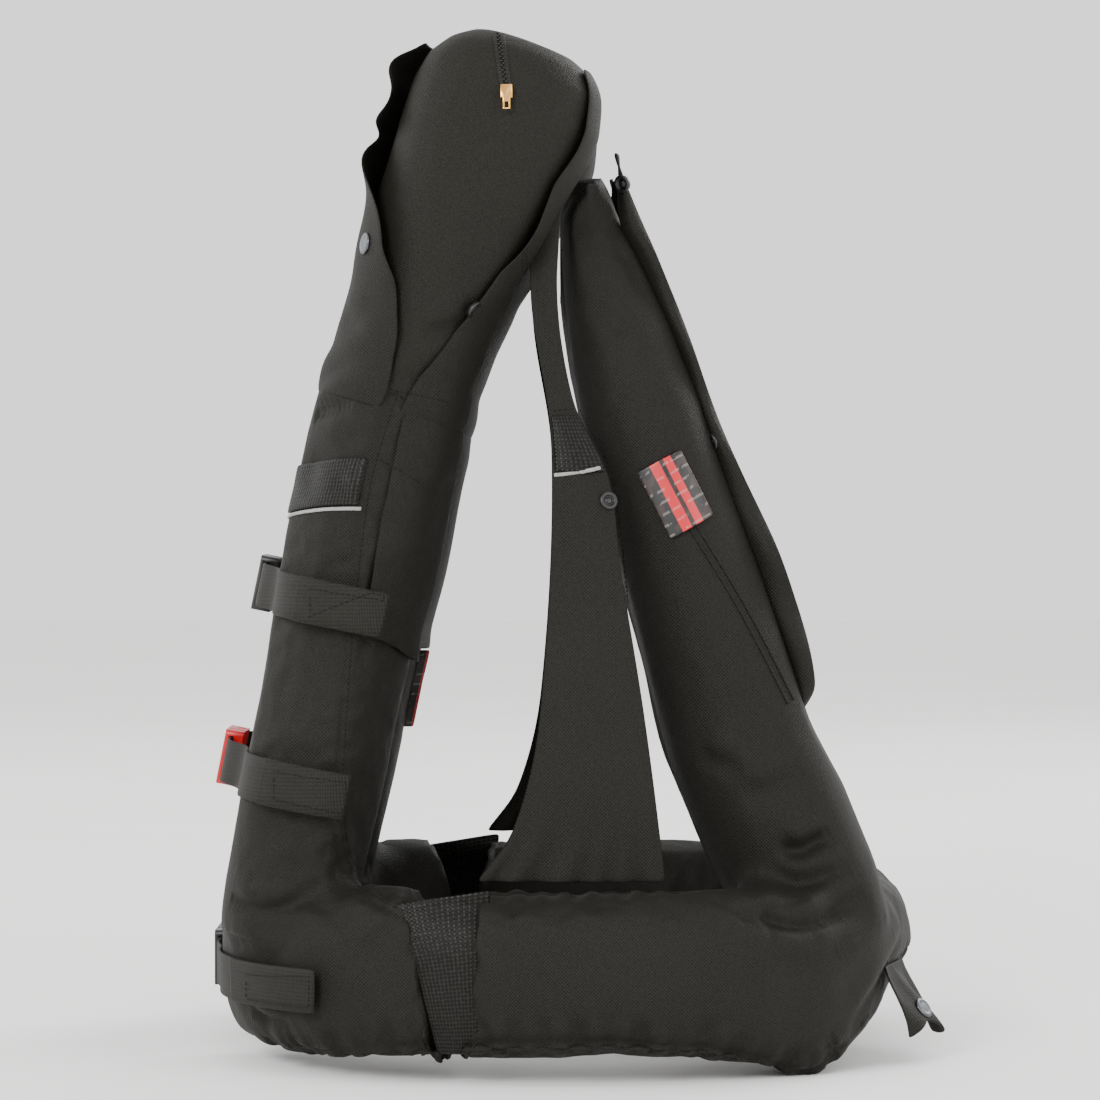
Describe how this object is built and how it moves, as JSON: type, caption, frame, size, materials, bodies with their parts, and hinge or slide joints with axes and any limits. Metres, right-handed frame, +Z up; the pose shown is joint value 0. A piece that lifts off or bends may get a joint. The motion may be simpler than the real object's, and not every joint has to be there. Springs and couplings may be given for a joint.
{
  "type": "inflatable life jacket",
  "caption": "Inflated buoyancy vest in dark woven cloth: chest columns with split collar lobes, back columns, a waist roll, buckled front straps and a gas firing head.",
  "frame": {"origin": "the middle of the footprint, on the surface that the hem rests on", "axes": "+Z up; the wearer faces -Y and the wearer's left is +X"},
  "size_m": [0.4586, 0.5154, 0.7039],
  "materials": {
    "cover_cloth": "woven polyester, matt",
    "bladder_cloth": "coated woven nylon, matt",
    "spacer_mesh": "knitted spacer mesh",
    "webbing": "woven webbing",
    "label": "printed satin",
    "black_plastic": "moulded",
    "red_plastic": "moulded",
    "snap_metal": "dark lacquered",
    "brass": "plated",
    "zinc_steel": "zinc plated"
  },
  "bodies": {
    "vest": {"waist_front_chamber_left": "cover_cloth", "waist_front_chamber_right": "cover_cloth", "waist_side_chamber_left": "cover_cloth", "waist_side_chamber_right": "cover_cloth", "waist_back_chamber": "cover_cloth", "side_mesh_gusset_left": "spacer_mesh", "side_mesh_gusset_right": "spacer_mesh", "chest_bladder_left": "bladder_cloth", "chest_bladder_right": "bladder_cloth", "chest_sleeve_left": "cover_cloth", "chest_sleeve_right": "cover_cloth", "collar_flap_rear_left": "cover_cloth", "collar_flap_rear_right": "cover_cloth", "chest_mesh_panel_left": "spacer_mesh", "chest_mesh_panel_right": "spacer_mesh", "neck_chamber": "bladder_cloth", "back_chamber_left": "cover_cloth", "back_chamber_right": "cover_cloth", "back_cover": "cover_cloth", "size_label": "label", "side_panel_left": "cover_cloth", "side_panel_right": "cover_cloth", "side_mesh_panel_left": "spacer_mesh", "side_mesh_panel_right": "spacer_mesh", "top_strap_left": "webbing", "top_strap_right": "webbing", "top_buckle_socket": "black_plastic", "middle_strap_left": "webbing", "middle_strap_right": "webbing", "middle_buckle_socket": "red_plastic", "bottom_strap_left": "webbing", "bottom_strap_right": "webbing", "bottom_buckle_socket": "black_plastic", "snap_stud_left": "black_plastic", "snap_stud_right": "black_plastic", "inflator_pocket": "cover_cloth", "gas_cylinder": "zinc_steel", "inflator_head": "black_plastic", "oral_tube": "black_plastic"},
    "top_prong": {"top_buckle_prong": "black_plastic"},
    "middle_prong": {"middle_buckle_prong": "red_plastic"},
    "bottom_prong": {"bottom_buckle_prong": "black_plastic"},
    "top_tab": {"top_strap_tab": "webbing"},
    "middle_tab": {"middle_strap_tab": "webbing"},
    "bottom_tab": {"bottom_strap_tab": "webbing"},
    "front_flap_left": {"collar_flap_front_left": "cover_cloth", "snap_cap_left": "snap_metal"},
    "front_flap_right": {"collar_flap_front_right": "cover_cloth", "snap_cap_right": "snap_metal"},
    "wing_left": {"back_wing_left": "cover_cloth", "snap_socket_back": "black_plastic"},
    "wing_right": {"back_wing_right": "cover_cloth"},
    "tail": {"hem_tail": "cover_cloth"},
    "zip_slider_left": {"collar_zip_slider_left": "brass"},
    "zip_slider_right": {"collar_zip_slider_right": "brass"},
    "zip_pull_left": {"collar_zip_pull_left": "brass"},
    "zip_pull_right": {"collar_zip_pull_right": "brass"},
    "handle": {"pull_handle": "red_plastic"},
    "lever": {"inflator_lever": "red_plastic"},
    "oral_cap": {"oral_tube_cap": "red_plastic"}
  },
  "joints": [
    {"name": "top_buckle_release", "type": "slide", "parent": "vest", "child": "top_prong", "axis": [1, 0, 0], "range_m": [0, 0.02]},
    {"name": "middle_buckle_release", "type": "slide", "parent": "vest", "child": "middle_prong", "axis": [1, 0, 0], "range_m": [0, 0.02]},
    {"name": "bottom_buckle_release", "type": "slide", "parent": "vest", "child": "bottom_prong", "axis": [1, 0, 0], "range_m": [0, 0.02]},
    {"name": "top_tab_peel", "type": "hinge", "parent": "vest", "child": "top_tab", "pos_m": [0.16571, -0.18898, 0.31895], "axis": [0.0063, -0.1672, -0.9859], "range_deg": [0, 60]},
    {"name": "middle_tab_peel", "type": "hinge", "parent": "vest", "child": "middle_tab", "pos_m": [0.16947, -0.21338, 0.19729], "axis": [-0.0317, -0.1385, -0.9899], "range_deg": [0, 60]},
    {"name": "bottom_tab_peel", "type": "hinge", "parent": "vest", "child": "bottom_tab", "pos_m": [0.13762, -0.23434, 0.0603], "axis": [0.016, 0.0552, -0.9983], "range_deg": [0, 60]},
    {"name": "collar_flap_left_open", "type": "hinge", "parent": "vest", "child": "front_flap_left", "pos_m": [0.06381, -0.11153, 0.59066], "axis": [-0.0316, -0.3111, -0.9499], "range_deg": [0, 25]},
    {"name": "collar_flap_right_open", "type": "hinge", "parent": "vest", "child": "front_flap_right", "pos_m": [-0.06381, -0.11153, 0.59066], "axis": [-0.0316, 0.3111, 0.9499], "range_deg": [0, 25]},
    {"name": "back_wing_left_open", "type": "hinge", "parent": "vest", "child": "wing_left", "pos_m": [0.08324, 0.09821, 0.40143], "axis": [-0.0248, -0.3445, 0.9385], "range_deg": [0, 30]},
    {"name": "back_wing_right_open", "type": "hinge", "parent": "vest", "child": "wing_right", "pos_m": [-0.08324, 0.09821, 0.40143], "axis": [-0.0248, 0.3445, -0.9385], "range_deg": [0, 30]},
    {"name": "hem_tail_lift", "type": "hinge", "parent": "vest", "child": "tail", "pos_m": [0.10397, 0.21799, 0.07159], "axis": [0.948, -0.3183, 0], "range_deg": [0, 40]},
    {"name": "collar_zip_left", "type": "slide", "parent": "vest", "child": "zip_slider_left", "axis": [-0.1009, -0.0017, 0.9949], "range_m": [0, 0.012]},
    {"name": "zip_pull_left_swing", "type": "hinge", "parent": "zip_slider_left", "child": "zip_pull_left", "pos_m": [0.18132, -0.04877, 0.65854], "axis": [0, -1, 0], "range_deg": [0, 60]},
    {"name": "collar_zip_right", "type": "slide", "parent": "vest", "child": "zip_slider_right", "axis": [0.1009, -0.0017, 0.9949], "range_m": [0, 0.012]},
    {"name": "zip_pull_right_swing", "type": "hinge", "parent": "zip_slider_right", "child": "zip_pull_right", "pos_m": [-0.18132, -0.04877, 0.65854], "axis": [0, 1, 0], "range_deg": [0, 60]},
    {"name": "pull_handle_pull", "type": "slide", "parent": "vest", "child": "handle", "axis": [0, -0.261, -0.9653], "range_m": [0, 0.0184]},
    {"name": "inflator_lever_turn", "type": "hinge", "parent": "vest", "child": "lever", "pos_m": [-0.032, -0.17683, 0.26093], "axis": [1, 0, 0], "range_deg": [0, 46]},
    {"name": "oral_tube_cap_pull", "type": "slide", "parent": "vest", "child": "oral_cap", "axis": [0, 0.3402, 0.9403], "range_m": [0, 0.02]}
  ],
  "couplings": [
    {"joint": "inflator_lever_turn", "follows": "pull_handle_pull", "rad_per_m": 42.75}
  ]
}
